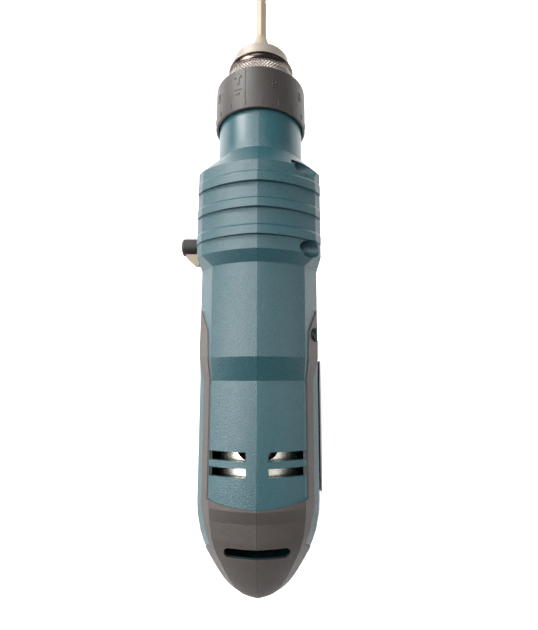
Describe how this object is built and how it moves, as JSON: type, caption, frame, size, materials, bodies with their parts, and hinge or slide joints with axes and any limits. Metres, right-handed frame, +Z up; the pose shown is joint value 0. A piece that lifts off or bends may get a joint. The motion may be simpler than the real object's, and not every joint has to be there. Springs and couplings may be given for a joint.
{
  "type": "capping machine",
  "caption": "Hand-held capping driver with ribbed gear casing, torque ring, hex drive shank, pistol grip and slide-on battery foot.",
  "frame": {"origin": "centre of the battery's underside, which the tool stands on", "axes": "+Y towards the drive shank, +Z up, +X to the operator's right"},
  "size_m": [0.0818, 0.3659, 0.238],
  "materials": {
    "teal_casing": "finely grained moulded teal plastic, satin",
    "elastomer": "dark grey-brown soft overmould, matt",
    "dark_plastic": "dark grey-brown moulded plastic",
    "satin_steel": "satin turned steel",
    "polished_steel": "polished hardened steel",
    "zinc_steel": "plated sheet steel",
    "gear_steel": "ground sintered steel",
    "screw_steel": "blackened steel",
    "copper": "bare and enamelled copper",
    "magnet": "ferrite",
    "black_plastic": "black moulded plastic",
    "carbon": "pressed carbon",
    "plate_silver": "blank satin foil plate",
    "cell_wrap": "shrink wrapped steel cells"
  },
  "bodies": {
    "tool": {"housing_left": "teal_casing", "housing_right": "teal_casing", "rear_bumper_left": "elastomer", "rear_bumper_right": "elastomer", "handle_grip_left": "elastomer", "handle_grip_right": "elastomer", "housing_screws": "screw_steel", "motor_can": "zinc_steel", "motor_magnets": "magnet", "motor_end_cap": "black_plastic", "carbon_brushes": "carbon", "motor_bearings": "gear_steel", "ring_gear": "gear_steel", "gear_case": "dark_plastic", "clutch_ring": "gear_steel", "nose_tube": "gear_steel", "clutch_balls": "polished_steel", "pressure_sleeve": "gear_steel", "clutch_spring": "gear_steel", "bearing_rear": "gear_steel", "bearing_front": "gear_steel", "retaining_clip": "gear_steel", "switch_body": "black_plastic", "trigger_spring": "gear_steel", "rating_plate": "plate_silver", "terminal_block": "black_plastic"},
    "rotor": {"motor_shaft": "gear_steel", "commutator": "copper", "armature_core": "gear_steel", "armature_windings": "copper", "sun_gear": "gear_steel"},
    "spindle": {"planet_carrier": "gear_steel", "spindle": "gear_steel", "chuck_body": "satin_steel", "detent_balls": "polished_steel", "knurled_collar": "satin_steel", "release_spring": "gear_steel", "drive_shank": "polished_steel"},
    "planet_a": {"planet_gear_a": "gear_steel"},
    "planet_b": {"planet_gear_b": "gear_steel"},
    "planet_c": {"planet_gear_c": "gear_steel"},
    "release_sleeve": {"release_sleeve": "satin_steel"},
    "torque_ring": {"torque_ring": "dark_plastic"},
    "clutch_nut": {"clutch_nut": "gear_steel"},
    "trigger": {"trigger": "dark_plastic"},
    "direction_lever": {"direction_lever": "dark_plastic"},
    "selector": {"selector_knob": "dark_plastic", "selector_pointer": "satin_steel"},
    "battery": {"battery_case_lower": "dark_plastic", "battery_case_upper": "teal_casing", "battery_cells": "cell_wrap", "battery_terminals": "copper", "button_spring": "gear_steel"},
    "battery_button": {"battery_button": "dark_plastic"}
  },
  "joints": [
    {"name": "spindle_spin", "type": "hinge", "parent": "tool", "child": "spindle", "pos_m": [0, 0.115, 0.2], "axis": [0, 1, 0], "continuous": true},
    {"name": "rotor_spin", "type": "hinge", "parent": "tool", "child": "rotor", "pos_m": [0, -0.009, 0.2], "axis": [0, 1, 0], "continuous": true},
    {"name": "planet_a_spin", "type": "hinge", "parent": "spindle", "child": "planet_a", "pos_m": [0, 0.034, 0.2135], "axis": [0, 1, 0], "continuous": true},
    {"name": "planet_b_spin", "type": "hinge", "parent": "spindle", "child": "planet_b", "pos_m": [-0.01169, 0.034, 0.19325], "axis": [0, 1, 0], "continuous": true},
    {"name": "planet_c_spin", "type": "hinge", "parent": "spindle", "child": "planet_c", "pos_m": [0.01169, 0.034, 0.19325], "axis": [0, 1, 0], "continuous": true},
    {"name": "sleeve_slide", "type": "slide", "parent": "spindle", "child": "release_sleeve", "axis": [0, 1, 0], "range_m": [0, 0.0035], "stiffness_N_per_m": 1500, "springref_m": -0.002, "deforming": ["release_spring"]},
    {"name": "torque_ring_turn", "type": "hinge", "parent": "tool", "child": "torque_ring", "pos_m": [0, 0.182, 0.2], "axis": [0, 1, 0], "range_deg": [0, 300]},
    {"name": "clutch_nut_travel", "type": "slide", "parent": "tool", "child": "clutch_nut", "axis": [0, -1, 0], "range_m": [0, 0.0066], "deforming": ["clutch_spring"]},
    {"name": "trigger_pull", "type": "slide", "parent": "tool", "child": "trigger", "axis": [0, -1, 0], "range_m": [0, 0.006], "stiffness_N_per_m": 900, "springref_m": -0.003, "deforming": ["trigger_spring"]},
    {"name": "direction_slide", "type": "slide", "parent": "tool", "child": "direction_lever", "axis": [1, 0, 0], "range_m": [-0.003, 0.003]},
    {"name": "selector_turn", "type": "hinge", "parent": "tool", "child": "selector", "pos_m": [-0.038, 0.0916, 0.204], "axis": [1, 0, 0], "range_deg": [-90, 90]},
    {"name": "battery_slide", "type": "slide", "parent": "tool", "child": "battery", "axis": [0, 1, 0], "range_m": [0, 0.1]},
    {"name": "battery_button_press", "type": "slide", "parent": "battery", "child": "battery_button", "axis": [0, -1, 0], "range_m": [0, 0.003], "stiffness_N_per_m": 1200, "springref_m": -0.001, "deforming": ["button_spring"]}
  ],
  "couplings": [
    {"joint": "rotor_spin", "follows": "spindle_spin", "ratio": 4.5},
    {"joint": "planet_a_spin", "follows": "spindle_spin", "ratio": -2.8},
    {"joint": "planet_b_spin", "follows": "spindle_spin", "ratio": -2.8},
    {"joint": "planet_c_spin", "follows": "spindle_spin", "ratio": -2.8},
    {"joint": "clutch_nut_travel", "follows": "torque_ring_turn", "m_per_rad": 0.00125}
  ]
}
